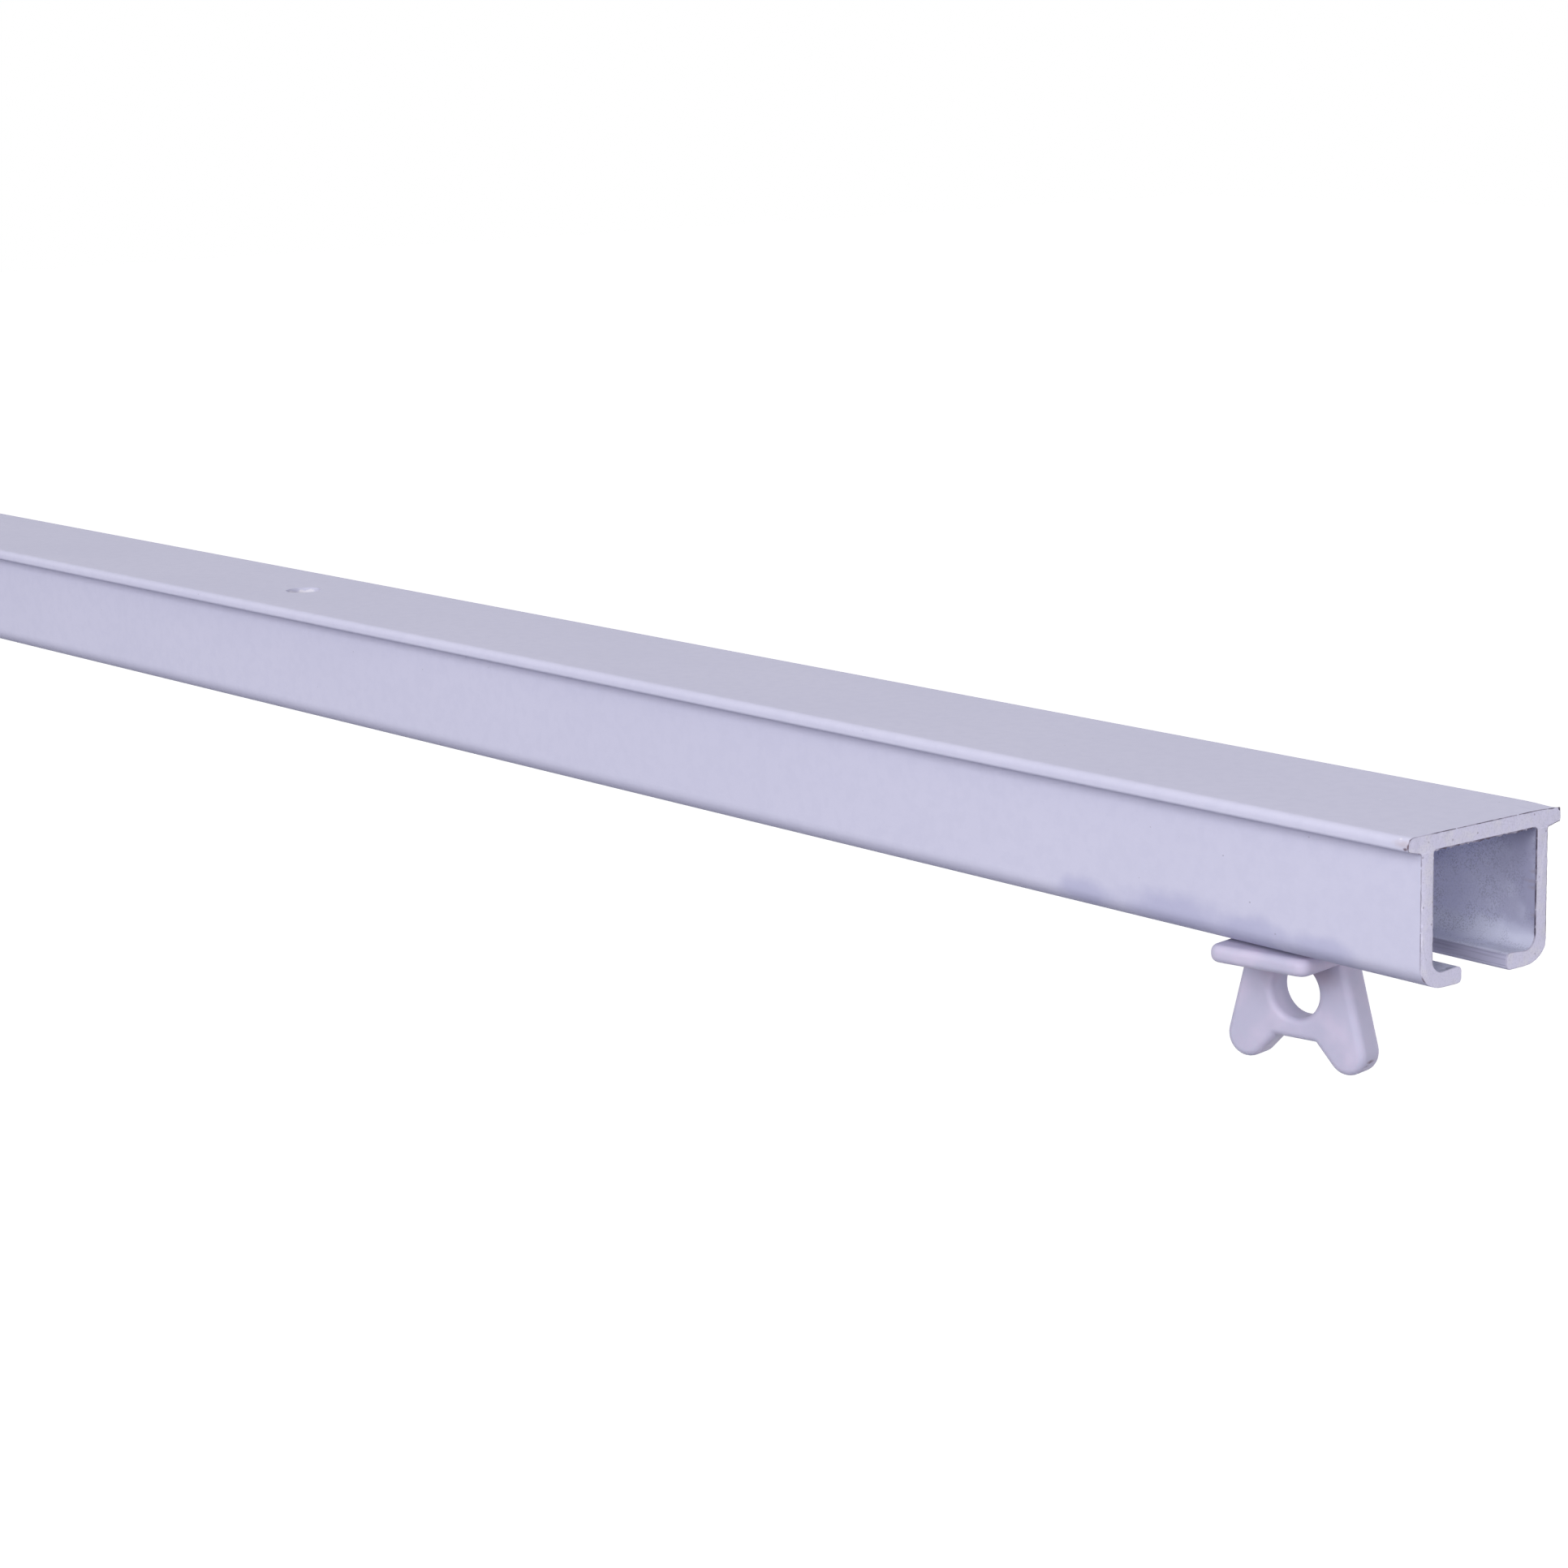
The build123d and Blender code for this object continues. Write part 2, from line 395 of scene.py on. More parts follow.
def makeSawn():
    metal = Finish("sawn_aluminium", Metallic=sawn["metallic"], Specular_IOR_Level=sawn["gloss"])
    face = metal.mix(metal.patches(**sawn["mottle"]), sawn["colour"], sawn["warm"])
    face = metal.mix(metal.patches(**sawn["dullPatches"]), face, sawn["dull"])
    face = metal.mix(metal.patches(**sawn["dullGrain"]), face, sawn["dull"])
    face = metal.mix(metal.pits(**sawn["pits"]), face, sawn["pit"])
    mottle = metal.noise(**sawn["mottle"])
    metal.feed(
        Base_Color=face,
        Roughness=(mottle - 0.5) * sawn["roughnessSpread"] + sawn["roughness"],
        Normal=metal.relief(sawn["dents"], sawn["teeth"]))
    return metal.material


# Line where the saw tore the paint, barer on the lips and low on the near wall

tornEdge = {
    "dark": colour(0.10, 0.085, 0.13), "thin": colour(0.30, 0.28, 0.37),
    "gloss": 0.3, "roughness": 0.75, "paintSmoother": 0.2,
    "thinner": {"size": 1.4, "detail": 2.0, "low": 0.4, "high": 0.6},
    "gap": {"size": 0.5, "low": 0.6, "high": 0.72},
    "lips": {"size": 0.8, "detail": 2.0, "wander": 2.0, "low": -10.8, "high": -12.4,
             "strength": 0.75},
    "nearWall": {"slope": 0.4, "low": -6.2, "high": -7.4, "strength": 0.45},
    "crumbs": {"size": 0.12, "detail": 2.0, "depth": 0.02},
}


def makeEdge():
    torn = Finish("torn_paint_edge", Specular_IOR_Level=tornEdge["gloss"])
    line = torn.mix(torn.patches(**tornEdge["thinner"]), tornEdge["dark"], tornEdge["thin"])
    lips = tornEdge["lips"]
    height = torn.axis("Z") + (torn.noise(**lips) - 0.5) * lips["wander"]
    bare = torn.step(height, lips["low"], lips["high"]) * lips["strength"]
    line = torn.mix(bare, line, sawn["colour"])
    wall = tornEdge["nearWall"]
    across = torn.axis("Y") + torn.axis("Z") * wall["slope"]
    bare = torn.step(across, wall["low"], wall["high"]) * wall["strength"]
    line = torn.mix(bare, line, sawn["colour"])
    gap = torn.patches(**tornEdge["gap"])
    torn.feed(
        Base_Color=addMarks(torn, torn.mix(gap, line, coat["colour"]), endMarks),
        Roughness=gap * -tornEdge["paintSmoother"] + tornEdge["roughness"],
        Normal=torn.relief(tornEdge["crumbs"]))
    return torn.material


# Thin coat inside the channel: painted shade at the mouth, painted light deeper in and low down,
# painted shade in the upper corner, rubbed on the lips

channelFinish = {
    # the mouth colour is painted shade near the sawn end, the deep colour is painted light further
    # in, and thin is painted shade for the upper corner
    "deep": colour(0.76, 0.77, 0.98), "mouth": colour(0.335, 0.335, 0.48),
    "cloud": colour(0.82, 0.84, 0.99), "thin": colour(0.50, 0.53, 0.80),
    "speck": colour(0.08, 0.085, 0.16), "stain": colour(0.30, 0.27, 0.33),
    "lipNose": colour(0.46, 0.45, 0.60), "lipStreak": colour(0.34, 0.33, 0.46),
    "gloss": 0.4, "roughness": 0.45, "roughnessSpread": 0.2, "mouthLength": 9.0,
    "noseEnd": 3.3, "noseFull": 3.1,  # how far the lips' rubbed noses reach out from the middle
    "mottle": {"size": 3.2, "low": 0.45, "high": 0.75, "strength": 0.3},
    "lowBand": {"low": -10.0, "high": -11.8, "wander": 3.5, "strength": 0.45, "deeper": 0.5},
    "corner": {"up": 0.55, "along": 0.35, "low": -0.6, "high": 2.0, "wander": 2.0,
               "strength": 0.85},
    "dust": {"size": 0.15, "detail": 1.0, "low": 0.5, "high": 0.6, "depth": 0.015},
    "dusty": {"size": 2.0, "detail": 2.0, "low": 0.42, "high": 0.6, "strength": 0.2},
    "dustDeeper": 0.08, "dustInCorner": 0.3,
    "grit": {"size": 0.2, "detail": 1.0, "low": 0.54, "high": 0.64},
    "gritDeeper": 0.35, "gritInCorner": 0.2,
    "streak": {"size": 0.14, "detail": 2.0, "stretch": (40, 1, 1), "low": 0.4, "high": 0.7,
               "depth": 0.006},
}
channelMarks = (  # which colour, how strong, place from the sawn end and half sizes
    ("stain", 0.6, (-0.3, 6.8, -5.6), (0.7, 0.5, 0.28)),
    ("stain", 0.6, (-0.5, 6.8, -6.5), (1.2, 0.5, 0.28)),
    ("stain", 0.6, (-0.35, 6.8, -7.1), (0.9, 0.5, 0.28)),
    ("stain", 0.6, (-0.2, 6.8, -9.6), (0.5, 0.5, 0.28)),
    # painted shade with a torn dark edge on the near lip's top at the sawn end
    ("speck", 0.8, (-0.25, -4.6, -12.45), (0.5, 1.7, 0.3)),
)


def makeChannelFinish():
    look = channelFinish
    inside = Finish("channel_thin_coat", Specular_IOR_Level=look["gloss"])
    # painted shade near the sawn end, where most light comes in, and painted light further in,
    # where little reaches
    depth = inside.step(inside.axis("X"), sawnEnd, sawnEnd - look["mouthLength"])
    body = inside.mix(depth, look["mouth"], look["deep"])
    body = inside.mix(inside.patches(**look["mottle"]), body, look["cloud"])
    mottle = inside.noise(**look["mottle"]) - 0.5

    # painted light low in the channel, over the lower corners and the lips' tops, in the cloud
    # colour
    band = look["lowBand"]
    low = inside.step(inside.axis("Z") + mottle * band["wander"], band["low"], band["high"])
    body = inside.mix(low * (depth * band["deeper"] + band["strength"]), body, look["cloud"])

    bare = look["corner"]  # painted shade in the deep upper corner, where the roof and near wall cast shadow
    slant = (inside.axis("Z") * bare["up"] - inside.axis("X") * bare["along"]
             + mottle * bare["wander"])
    end = -bare["along"] * sawnEnd
    corner = inside.step(slant, end + bare["low"], end + bare["high"])
    # the thin colour here is painted shade
    body = inside.mix(corner * bare["strength"], body, look["thin"])

    dusty = (inside.patches(**look["dusty"]) + depth * look["dustDeeper"]
             + corner * look["dustInCorner"])
    body = inside.mix(inside.patches(**look["dust"]) * dusty, body, look["speck"])
    gritty = depth * look["gritDeeper"] + corner * look["gritInCorner"]
    body = inside.mix(inside.patches(**look["grit"]) * gritty, body, look["cloud"])
    for what, strength, (x, y, z), size in channelMarks:
        mark = inside.spot((sawnEnd + x, y, z), size, core=0.0, ragged=1.2)
        body = inside.mix(mark * strength, body, look[what])

    out = inside.node("ShaderNodeMath", {"operation": "ABSOLUTE"}, {0: inside.axis("Y")})
    nose = inside.step(out, look["noseEnd"], look["noseFull"])
    rubbed = inside.mix(inside.patches(**look["streak"]), look["lipNose"], look["lipStreak"])
    inside.feed(
        Base_Color=inside.mix(nose, body, rubbed),
        Roughness=inside.noise(**look["dust"]) * look["roughnessSpread"] + look["roughness"],
        Normal=inside.relief(look["streak"], look["dust"]))
    return inside.material


# Nylon of the runner and, in a plainer white, of the wheels

nylon = {
    # pink tints the nylon in patches and also paints a glow on the plate's shaded end
    "colour": colour(0.485, 0.468, 0.612), "pink": colour(0.70, 0.60, 0.76),
    # the recess colour is painted shade
    "recess": colour(0.37, 0.295, 0.39), "dirt": colour(0.17, 0.12, 0.17),
    "wheel": colour(0.68, 0.66, 0.74), "wheelShade": colour(0.60, 0.58, 0.66),
    "glow": 0.25, "glowReach": 1.2, "glowColours": (1.0, 0.6, 0.7),
    "gloss": 0.3, "roughness": 0.52, "roughnessSpread": 0.2,
    "flow": {"size": 3.5, "detail": 2.0, "low": 0.4, "high": 0.75, "strength": 0.35},
    "skin": {"size": 0.5, "depth": 0.012}, "markCore": 0.1,
}
nylonMarks = (  # which colour, how strong, place with X from the eye, half sizes
    # painted shade beside the hole, under the plate
    ("recess", 0.75, (2.6, -1.6, -17.2), (3.6, 2.4, 2.0)),
    ("recess", 0.35, (-2.4, -1.6, -17.6), (1.6, 2.4, 2.2)),
    # painted glow on the plate's right end, which lies in shade, standing in for light through the
    # nylon
    ("pink", 0.55, (5.4, -1.0, -15.2), (2.0, 8.5, 1.8)),
    ("dirt", 0.9, (7.43, 1.04, -24.95), (0.6, 0.8, 0.28)),
    ("dirt", 0.6, (7.3, 0.6, -25.3), (0.35, 0.5, 0.18)),
    ("dirt", 0.6, (6.65, -6.9, -14.3), (0.35, 0.6, 0.13)),
)


def makeNylon(name, body, blush, marks=()):
    plastic = Finish(
        name, Subsurface_Weight=nylon["glow"], Subsurface_Scale=nylon["glowReach"] * mm,
        Subsurface_Radius=nylon["glowColours"], Specular_IOR_Level=nylon["gloss"])
    body = plastic.mix(plastic.patches(**nylon["flow"]), body, blush)
    eye = mounts["hook_eye"]["pos_m"][0] / mm
    for what, strength, (x, y, z), size in marks:
        mark = plastic.spot((x + eye, y, z), size, nylon["markCore"])
        body = plastic.mix(mark * strength, body, nylon[what])
    skin = plastic.noise(**nylon["skin"])
    plastic.feed(
        Base_Color=body,
        Roughness=(skin - 0.5) * nylon["roughnessSpread"] + nylon["roughness"],
        Normal=plastic.relief(nylon["skin"]))
    return plastic.material


# Zinc plated steel of the axle

steel = {
    "dull": colour(0.50, 0.50, 0.52), "bright": colour(0.68, 0.68, 0.69), "cloudSize": 0.4,
    "roughness": 0.25, "roughnessSpread": 0.3,
    "scratches": {"size": 0.25, "detail": 2.0, "depth": 0.015},
}


def makeSteel():
    plated = Finish("zinc_plated_steel", Metallic=1.0)
    cloud = plated.noise(steel["cloudSize"])
    plated.feed(
        Base_Color=plated.mix(cloud, steel["dull"], steel["bright"]),
        Roughness=cloud * steel["roughnessSpread"] + steel["roughness"],
        Normal=plated.relief(steel["scratches"]))
    return plated.material


coatMaterial = makeCoat()
sawnMaterial = makeSawn()
edgeMaterial = makeEdge()
channelMaterial = makeChannelFinish()
nylonMaterial = makeNylon("runner_nylon", nylon["colour"], nylon["pink"], nylonMarks)
wheelMaterial = makeNylon("wheel_nylon", nylon["wheel"], nylon["wheelShade"])
steelMaterial = makeSteel()
print("finishes made")


# Rail

railShape = {  # millimetres
    "flangeEdge": 1.25, "flangeRoot": 1.65, "flangeNose": 0.75, "flangeUnder": 0.35,
    "rootCorner": 0.3, "boxHalf": 8.3, "channelHalf": 6.8, "topThickness": 1.5, "slotHalf": 3.0,
    "lip": 1.6, "lipFall": 0.3, "lipEdge": 0.5, "channelCorner": 1.3, "roofCorner": 0.3,
    "soleUp": 2.1, "soleAcross": 3.0, "arcSteps": 8, "rimStep": 0.25,
    "rings": (0.14, 0.14, 0.22, 0.4, 0.6, 0.9, 1.3, 1.9, 2.6, 3.6, 5.0),  # from the sawn end in
    "edgeLine": 0.07, "flat": 0.12, "holeSides": 48, "smoothAngle": 30,
}
railHalf = railHigh.y / mm
railSole = railLow.z / mm
lipTop = railSole + railShape["lip"]
rimFrom = railHigh.x - close / 10  # in metres: points past it are the sawn end's


def railOutline():
    shape = railShape
    corners = (
        (railHalf, 0, shape["flangeNose"]),
        (railHalf, -shape["flangeEdge"], shape["flangeUnder"]),
        (shape["boxHalf"], -shape["flangeRoot"], shape["rootCorner"]),
        (shape["boxHalf"], railSole, (shape["soleUp"], shape["soleAcross"])),
        (shape["slotHalf"], railSole, shape["lipEdge"]),
        (shape["slotHalf"], lipTop, shape["lipEdge"]),
        (shape["channelHalf"], lipTop - shape["lipFall"], shape["channelCorner"]),
        (shape["channelHalf"], -shape["topThickness"], shape["roofCorner"]),
    )
    return roundedOutline(mirroredCorners(corners), shape["arcSteps"], shape["rimStep"])


def runOutRail(rail):  # to the sawn end, with close rings of points near it
    shape = railShape
    editPiece(rail)
    selectAll()
    plain = railHigh.x - railLow.x - sum(shape["rings"]) * mm
    for step in [plain] + [ring * mm for ring in reversed(shape["rings"])]:
        bpy.ops.mesh.extrude_region_move(TRANSFORM_OT_translate={"value": (step, 0, 0)})
    assign(rail, edgeMaterial)
    bpy.ops.mesh.inset(thickness=shape["edgeLine"] * mm, use_even_offset=True)
    assign(rail, sawnMaterial)
    bpy.ops.mesh.inset(thickness=shape["flat"] * mm, use_even_offset=True)
    selectAll()
    bpy.ops.mesh.normals_make_consistent(inside=False)
    leaveEdit()


def finishRailByPlace(rail):
    shape = railShape
    torn = sawnEnd - shape["rings"][0]
    roof = -shape["topThickness"]
    lipFoot = lipTop - shape["lipFall"]
    lowest = railSole + shape["lipEdge"] - margin

    def inChannel(at, normal):
        inSlot = abs(at.y) < shape["slotHalf"] + margin
        inBox = abs(at.y) < shape["channelHalf"] + slack and at.z > lipFoot - margin
        return at.x < torn and lowest < at.z < roof + slack and (inSlot or inBox)

    editPiece(rail)
    selectFaces(rail, inChannel)
    assign(rail, channelMaterial)
    selectFaces(rail, lambda at, normal: at.x < (railLow.x + close) / mm)
    assign(rail, sawnMaterial)
    selectFaces(rail, lambda at, normal: abs(normal.x) < 0.5 and at.x > torn)
    assign(rail, edgeMaterial)
    leaveEdit()


def drillScrewHoles(rail):
    holes = mounts["screw_holes"]["dims"]
    top = railShape["topThickness"]
    for side in (-0.5, 0.5):
        middle = (side * holes["spacing_x_mm"] * mm, 0, -top / 2 * mm)
        drill = addRod(holes["hole_r_mm"] * mm, 2 * top * mm, middle, "Z", railShape["holeSides"])
        combine(rail, drill, "DIFFERENCE")


tears = {  # direction, depth and size of the waves in millimetres, and the level taken off them
    "rimTop": {"axis": "Z", "depth": 0.1, "size": 0.7, "level": 1.0},
    "burrRoof": {"axis": "Z", "depth": -0.46, "size": 0.45, "level": 0.35},
    "burrFar": {"axis": "Y", "depth": -0.5, "size": 0.4, "level": 0.35},
    "burrNear": {"axis": "Y", "depth": 0.16, "size": 0.4, "level": 0.35},
    "rimBack": {"axis": "X", "depth": 0.12, "size": 0.5, "level": 1.0},
}


def roughen(piece, name, test, axis, depth, size, level):
    # Clouds push the points that pass the test along one axis
    group = piece.vertex_groups.new(name=name)
    group.add([point.index for point in piece.data.vertices if test(point.co)], 1.0, "REPLACE")
    clouds = bpy.data.textures.new(name, "CLOUDS")
    clouds.noise_scale = size * mm
    push = piece.modifiers.new(name, "DISPLACE")
    push.texture = clouds
    push.texture_coords = "LOCAL"
    push.vertex_group = group.name
    push.direction = axis
    push.strength = depth * mm
    push.mid_level = level
    applyModifiers(piece)
    piece.vertex_groups.clear()


def tearRim(rail):
    roof = -railShape["topThickness"]
    channelHalf = railShape["channelHalf"]
    near = 0.02  # millimetres off a line
    topBand, soleBand = 0.4, 0.05  # the rim's points this near to top and sole are pushed too
    burrFoot = -12  # the walls' burrs end above the channel's lower corners

    def onWall(y, z, wall):
        return abs(y - wall) < near and burrFoot < z < roof - margin

    places = {
        "rimTop": lambda y, z: z > -near,
        "burrRoof": lambda y, z: abs(y) < channelHalf + near and roof - near < z < roof + slack,
        "burrFar": lambda y, z: onWall(y, z, channelHalf),
        "burrNear": lambda y, z: onWall(y, z, -channelHalf),
        "rimBack": lambda y, z: (abs(y) > railShape["boxHalf"] - margin or z > -topBand
                                 or z < railSole + soleBand),
    }
    for name, there in places.items():
        roughen(rail, name, lambda co: co.x > rimFrom and there(co.y / mm, co.z / mm),
                **tears[name])


farTip = {  # millimetres
    "squeezes": ((0.05, 0.3), (0.2, 0.5)),  # how far from the sawn end, and the share left
    "ringReach": 0.09, "corner": 0.22, "topWidth": 0.8,
    "gripLength": 0.2, "gripWidth": 0.1, "bend": 0.14, "bendReach": 3.4,
}


def bendFarTip(rail):  # the saw squeezed this flange's tip square and bent it down a little
    tip = farTip
    under = -railShape["flangeEdge"] - margin

    def onRing(point, depth):
        return abs(point.co.x - railHigh.x + depth * mm) < tip["ringReach"] * mm

    for depth, left in tip["squeezes"]:
        for test, value, middle in (
            (lambda at: at.y > railHalf - tip["corner"] and at.z > under,
             (1, left, 1), (0, railHigh.y, 0)),
            (lambda at: at.y > railHalf - tip["topWidth"] and at.z > -tip["corner"],
             (1, 1, left), (0, 0, 0)),
        ):
            editPiece(rail, "VERT")
            selectWhere(rail, "verts", lambda point: onRing(point, depth) and test(point.co / mm))
            bpy.ops.transform.resize(value=value, center_override=middle)
            leaveEdit()
    editPiece(rail, "VERT")
    selectWhere(rail, "verts", lambda point: point.co.x > rimFrom - tip["gripLength"] * mm
                and point.co.y > (railHalf - tip["gripWidth"]) * mm)
    bpy.ops.transform.translate(
        value=(0, 0, -tip["bend"] * mm), use_proportional_edit=True,
        use_proportional_connected=True, proportional_edit_falloff="SMOOTH",
        proportional_size=tip["bendReach"] * mm)
    leaveEdit()


def splitWideFaces(piece):  # into even triangles, so that the export makes no slivers of them
    editPiece(piece)
    selectWhere(piece, "faces", lambda face: len(face.verts) > 4)
    bpy.ops.mesh.quads_convert_to_tris(ngon_method="BEAUTY")
    leaveEdit()


def makeRail():
    rail = outlineFace(
        "rail_extrusion", railOutline(), lambda point: (railLow.x, point.x * mm, point.y * mm))
    for material in (coatMaterial, sawnMaterial, edgeMaterial, channelMaterial):
        rail.data.materials.append(material)
    runOutRail(rail)
    finishRailByPlace(rail)
    drillScrewHoles(rail)
    tearRim(rail)
    bendFarTip(rail)
    splitWideFaces(rail)
    smooth(rail, railShape["smoothAngle"])
    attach(rail, "rail")
    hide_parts("rail")
    return rail


rail = makeRail()
print("rail:", len(rail.data.polygons), "faces")


# Runner: modelled upright at the origin, then turned and set in its place

runnerShape = {  # millimetres and degrees, with axleHeight in the shared frame
    "plateGap": 0.2, "plateLength": 10.9, "plateWidth": 15.8, "plateThickness": 1.7,
    "plateCorner": 1.2, "plateEdge": 0.7, "eyeThickness": 3.2, "eyeTop": 11.0, "eyeEdge": 0.8,
    "eyeRim": 0.65, "legSplay": 14.8, "footRadius": 2.1, "notchWidth": 4.4, "notchDrop": 7.9,
    "notchSplay": 43.2, "notchCorner": 0.3, "neckLength": 8.0, "neckWidth": 4.2, "neckEdge": 0.4,
    "headRadius": 3.3, "collarRadius": 1.8, "collarWidth": 4.8, "axleBore": 1.02,
    "axleHeight": -7.8, "sunk": 0.5, "drillLength": 8.0, "drillPast": 0.3, "sliver": 0.002,
    "smoothAngle": 35,
}
runnerSteps = {  # facets round each corner
    "plateCorner": 8, "plateEdge": 6, "eyeOutline": 16, "eyeEdge": 7, "eyeRim": 7, "neckEdge": 2,
    "head": 96,
}
plateTop = railLow.z - runnerShape["plateGap"] * mm
plateUnder = plateTop - runnerShape["plateThickness"] * mm


def bevelEdges(piece, test, size, segments):
    editPiece(piece, "EDGE")
    selectWhere(piece, "edges", test)
    bpy.ops.mesh.bevel(offset=size * mm, segments=segments, profile=0.5, clamp_overlap=False)
    leaveEdit()


def makePlate():
    shape = runnerShape
    half = Vector((shape["plateLength"] / 2, shape["plateWidth"] / 2)) * mm
    plate = addBlock((-half.x, -half.y, plateUnder), (half.x, half.y, plateTop))
    middle = (plateTop + plateUnder) / 2

    def isUpright(edge):
        return abs(middleOf(edge).z - middle) < close

    def isRim(edge):
        if len(edge.link_faces) != 2 or abs(edge.verts[0].co.z - edge.verts[1].co.z) > close:
            return False
        return abs(edge.link_faces[0].normal.z - edge.link_faces[1].normal.z) > 0.5

    bevelEdges(plate, isUpright, shape["plateCorner"], runnerSteps["plateCorner"])
    bevelEdges(plate, isRim, shape["plateEdge"], runnerSteps["plateEdge"])
    return plate


def makeEye():
    shape = runnerShape
    slope = math.tan(math.radians(shape["legSplay"]))
    notchSlope = math.tan(math.radians(shape["notchSplay"]))
    span = (shape["eyeTop"] - shape["notchWidth"]) / 2
    apex = (span + shape["notchDrop"] * notchSlope) / (notchSlope - slope)
    under = plateUnder / mm
    root = under + shape["sunk"]
    corners = (
        (shape["eyeTop"] / 2 - shape["sunk"] * slope, root, 0),
        (shape["eyeTop"] / 2 + apex * slope, under - apex, shape["footRadius"]),
        (shape["notchWidth"] / 2, under - shape["notchDrop"], shape["notchCorner"]),
    )
    half = shape["eyeThickness"] / 2 * mm
    points = roundedOutline(mirroredCorners(corners), runnerSteps["eyeOutline"], math.inf)
    eye = outlineFace("eye", points, lambda point: (point.x * mm, -half, point.y * mm))
    editPiece(eye)
    selectAll()
    bpy.ops.mesh.extrude_region_move(TRANSFORM_OT_translate={"value": (0, 2 * half, 0)})
    selectAll()
    bpy.ops.mesh.normals_make_consistent(inside=False)
    leaveEdit()
    bevelEdges(eye, lambda edge: abs(abs(middleOf(edge).y) - half) < close
               and middleOf(edge).z < root * mm - close, shape["eyeEdge"], runnerSteps["eyeEdge"])
    return eye


def makeEyeDrill():  # its ends flare, so that the hole's rims come out rounded
    shape = runnerShape
    eye = mounts["hook_eye"]
    radius = eye["dims"]["r_mm"]
    middle = Vector((0, 0, eye["pos_m"][2]))
    straight = shape["eyeThickness"] - 2 * shape["eyeRim"]
    drill = addRod(radius * mm, straight * mm, middle)
    steps = runnerSteps["eyeRim"]
    for side in (-1, 1):
        editPiece(drill)
        selectFaces(drill, lambda at, normal: normal.y * side > 0.9
                    and at.y * side > straight / 2 - 0.01)
        reach = radius
        for step in range(1, steps + 1):
            angle = step / steps * math.pi / 2
            before = angle - math.pi / 2 / steps
            forward = shape["eyeRim"] * (math.sin(angle) - math.sin(before))
            wider = radius + shape["eyeRim"] * (1 - math.cos(angle))
            bpy.ops.mesh.extrude_region_move(
                TRANSFORM_OT_translate={"value": (0, side * forward * mm, 0)})
            bpy.ops.transform.resize(
                value=(wider / reach, 1, wider / reach), center_override=middle)
            reach = wider
        bpy.ops.mesh.extrude_region_move(
            TRANSFORM_OT_translate={"value": (0, side * shape["drillPast"] * mm, 0)})
        leaveEdit()
    return drill


def makeHead():
    shape = runnerShape
    half = shape["neckWidth"] / 2 * mm
    axle = Vector((0, 0, shape["axleHeight"] * mm))
    length = shape["neckLength"] / 2 * mm
    foot = plateTop - shape["sunk"] * mm
    head = addRod(shape["headRadius"] * mm, 2 * half, axle, sides=runnerSteps["head"])
    neck = addBlock((-length, -half, foot), (length, half, lipTop * mm))
    pick(neck, head)
    bpy.ops.object.join()
    editPiece(head)
    selectAll()
    bpy.ops.mesh.convex_hull()
    selectAll()
    bpy.ops.mesh.dissolve_limited(angle_limit=math.radians(0.5))
    leaveEdit()
    bevelEdges(head, lambda edge: abs(abs(middleOf(edge).y) - half) < close
               and middleOf(edge).z > foot + close, shape["neckEdge"], runnerSteps["neckEdge"])
    combine(head, addRod(shape["collarRadius"] * mm, shape["collarWidth"] * mm, axle), "UNION")
    combine(head, addRod(shape["axleBore"] * mm, shape["drillLength"] * mm, axle), "DIFFERENCE")
    return head


def makeRunner():
    runner = makePlate()
    runner.name = "runner_moulding"
    combine(runner, makeEye(), "UNION")
    combine(runner, makeHead(), "UNION")
    combine(runner, makeEyeDrill(), "DIFFERENCE")
    editPiece(runner)
    selectAll()
    bpy.ops.mesh.remove_doubles(threshold=runnerShape["sliver"] * mm)  # where the pieces met
    leaveEdit()
    eye = mounts["hook_eye"]
    runner.rotation_euler.z = math.atan2(-eye["axis"][0], eye["axis"][1])
    runner.location.x = eye["pos_m"][0]
    applyPlace(runner)
    runner.data.materials.clear()
    runner.data.materials.append(nylonMaterial)
    smooth(runner, runnerShape["smoothAngle"])
    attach(runner, "runner")
    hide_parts("runner_body")
    return runner


runner = makeRunner()
print("runner:", len(runner.data.polygons), "faces")


# The wheels and the axle keep their form

for node, material in (
    ("near_wheel", wheelMaterial), ("far_wheel", wheelMaterial), ("axle", steelMaterial),
):
    frame["nodes"][node].data.materials.clear()
    frame["nodes"][node].data.materials.append(material)
print("wheels and axle finished")


# Stage, lights and camera

stageSettings = {
    "floorDrop": 1.3, "floorSize": 40.0, "floorSeen": 0.92, "floorGiven": colour(0.28, 0.28, 0.36),
    "glow": 0.64, "world": 0.49,
}
seenRays = ("Camera", "Glossy", "Transmission")  # these see plain white, the others give light


def makeFloor():
    settings = stageSettings
    bpy.ops.mesh.primitive_plane_add(
        size=settings["floorSize"], location=(0, 0, -settings["floorDrop"]))
    floor = bpy.context.object
    floor.name = "floor"
    paper = Finish("floor_paper", Roughness=1.0, Specular_IOR_Level=0.0, Emission_Strength=1.0)
    rays = [paper.node("ShaderNodeLightPath", output="Is " + kind + " Ray") for kind in seenRays]
    seen = rays[0] + rays[1] + rays[2]
    paper.feed(
        Base_Color=paper.mix(seen, settings["floorGiven"], grey(settings["floorSeen"])),
        Emission_Color=paper.mix(seen, grey(0), grey(settings["glow"])))
    floor.data.materials.append(paper.material)


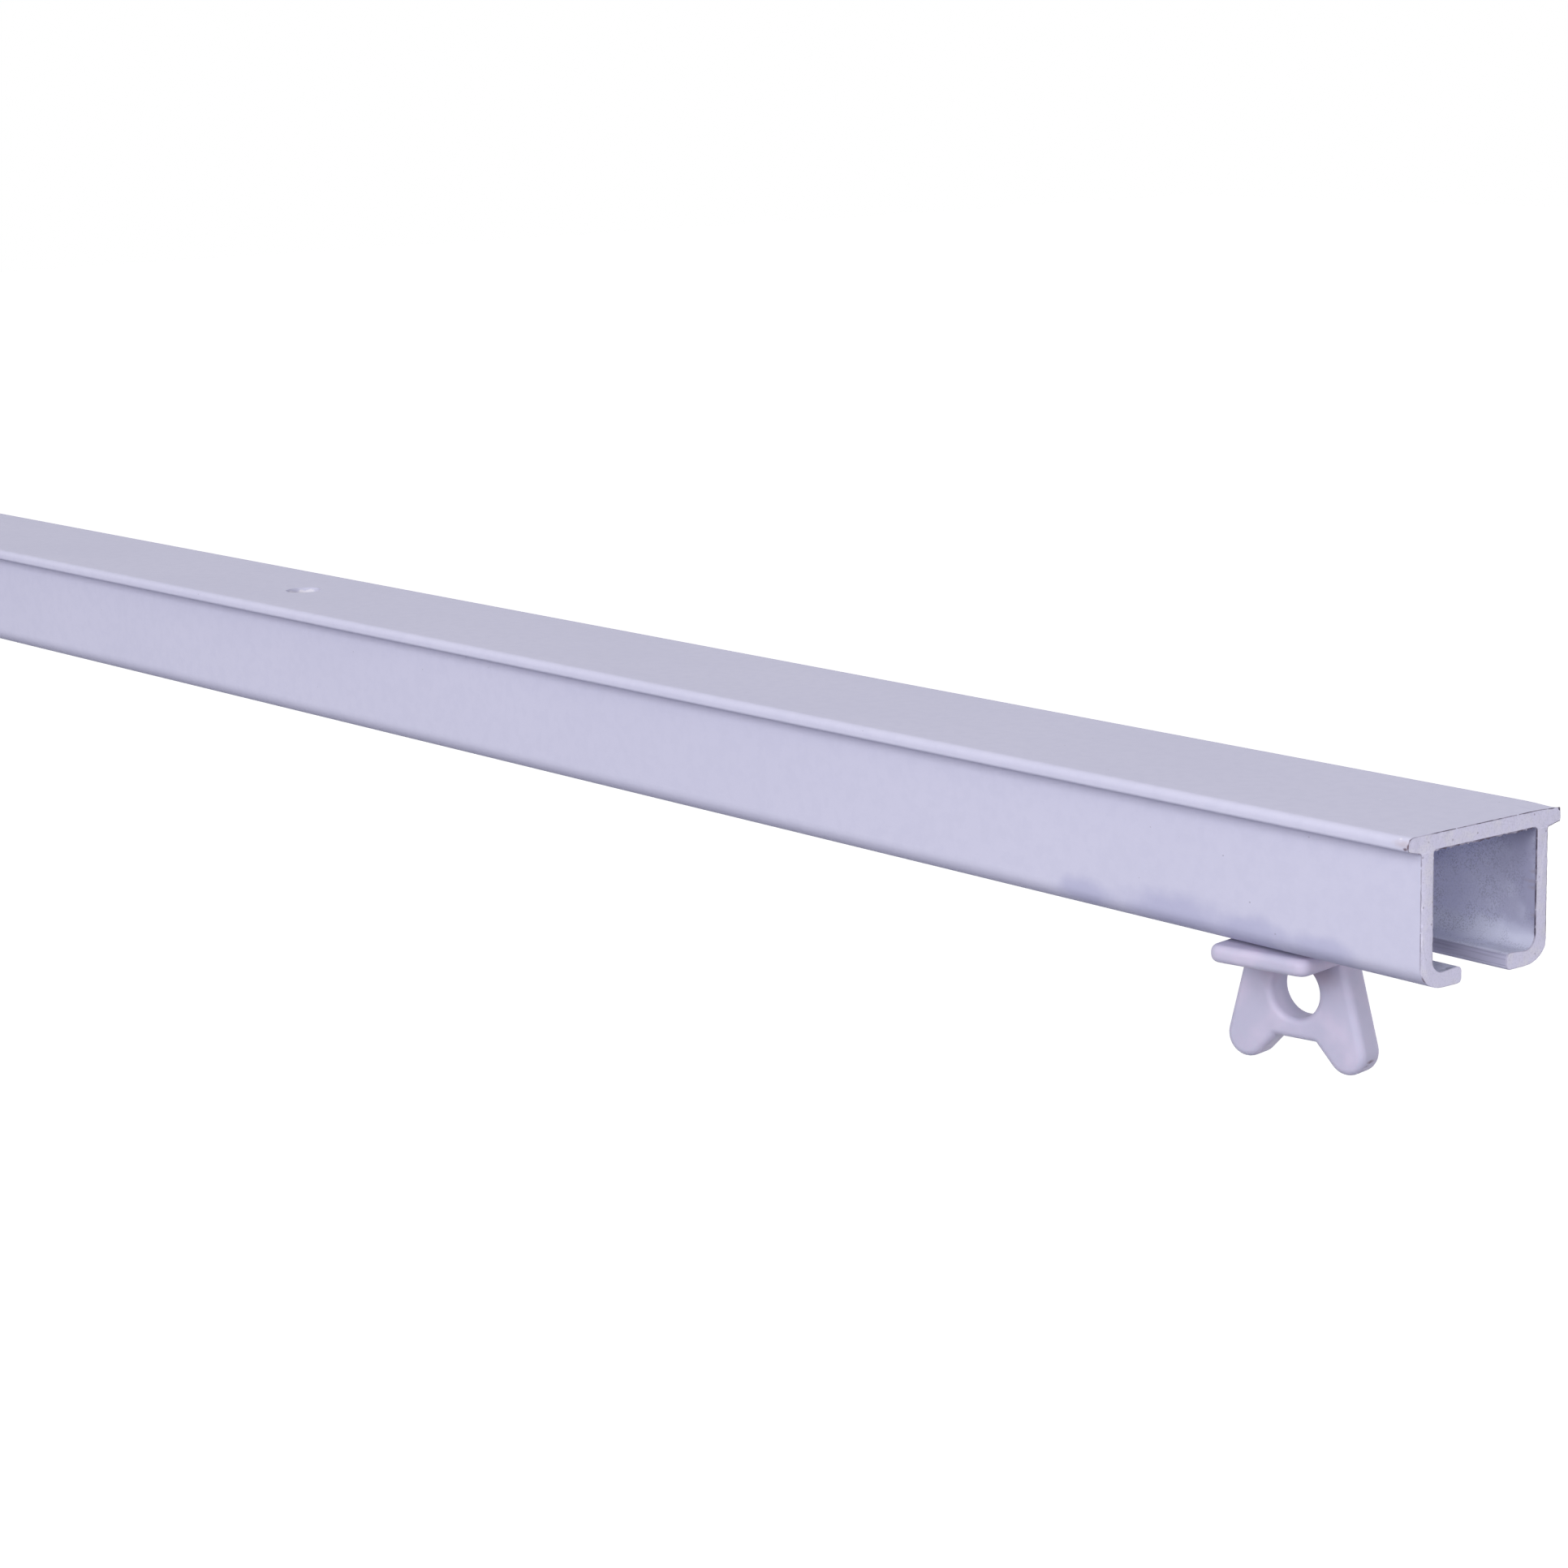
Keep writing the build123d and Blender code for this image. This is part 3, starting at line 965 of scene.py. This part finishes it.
def makeWorld():
    world = bpy.data.worlds.new("studio")
    bpy.context.scene.world = world
    world.use_nodes = True
    nodes = world.node_tree.nodes
    links = world.node_tree.links

    def addSky(strength):
        sky = nodes.new("ShaderNodeBackground")
        sky.inputs["Color"].default_value = grey(1)
        sky.inputs["Strength"].default_value = strength
        return sky

    join = addSky(stageSettings["world"])
    for kind in seenRays:
        choice = nodes.new("ShaderNodeMixShader")
        path = nodes.new("ShaderNodeLightPath")
        links.new(path.outputs["Is " + kind + " Ray"], choice.inputs[0])
        links.new(join.outputs[0], choice.inputs[1])
        links.new(addSky(1.0).outputs[0], choice.inputs[2])
        join = choice
    links.new(join.outputs[0], nodes["World Output"].inputs["Surface"])


lamps = (  # place, aimed at, side of the square, watts, whether it glints
    ((0.62, -1.3, 0.62), (0.2, 0, 0), 1.0, 16.3, True),
    ((1.6, -0.45, 0.2), (0.3, 0, 0), 0.8, 7.0, True),
    ((0.3, 1.6, 0.1), (0, 0, 0), 1.0, 10.5, False),
    ((-1.6, 0.3, 0.1), (-0.3, 0, 0), 0.8, 6.5, False),
)


def makeLamps():
    for index, (place, aim, side, power, glints) in enumerate(lamps):
        light = bpy.data.lights.new("softbox_" + str(index), "AREA")
        light.size = side
        light.energy = power
        lamp = bpy.data.objects.new(light.name, light)
        lamp.location = place
        lamp.rotation_euler = (Vector(aim) - Vector(place)).to_track_quat("-Z", "Y").to_euler()
        lamp.visible_glossy = glints
        bpy.context.scene.collection.objects.link(lamp)


view = {  # metres and degrees, lens and sensor in millimetres
    "place": (0.5120, -0.2462, 0.0700), "heading": 51.62, "tilt": 78.45, "roll": -1.3,
    "lens": 85.7, "sensor": 36, "nearest": 0.01,
}


def makeCamera():
    data = bpy.data.cameras.new("camera")
    data.lens = view["lens"]
    data.sensor_width = view["sensor"]
    data.clip_start = view["nearest"]
    camera = bpy.data.objects.new("camera", data)
    turn = (Matrix.Rotation(math.radians(view["heading"]), 4, "Z")
            @ Matrix.Rotation(math.radians(view["tilt"]), 4, "X")
            @ Matrix.Rotation(math.radians(view["roll"]), 4, "Z"))
    camera.matrix_world = Matrix.Translation(view["place"]) @ turn
    bpy.context.scene.collection.objects.link(camera)
    bpy.context.scene.camera = camera


makeFloor()
makeWorld()
makeLamps()
makeCamera()
bpy.context.scene.view_settings.view_transform = "Standard"
print("stage, lamps and camera set")
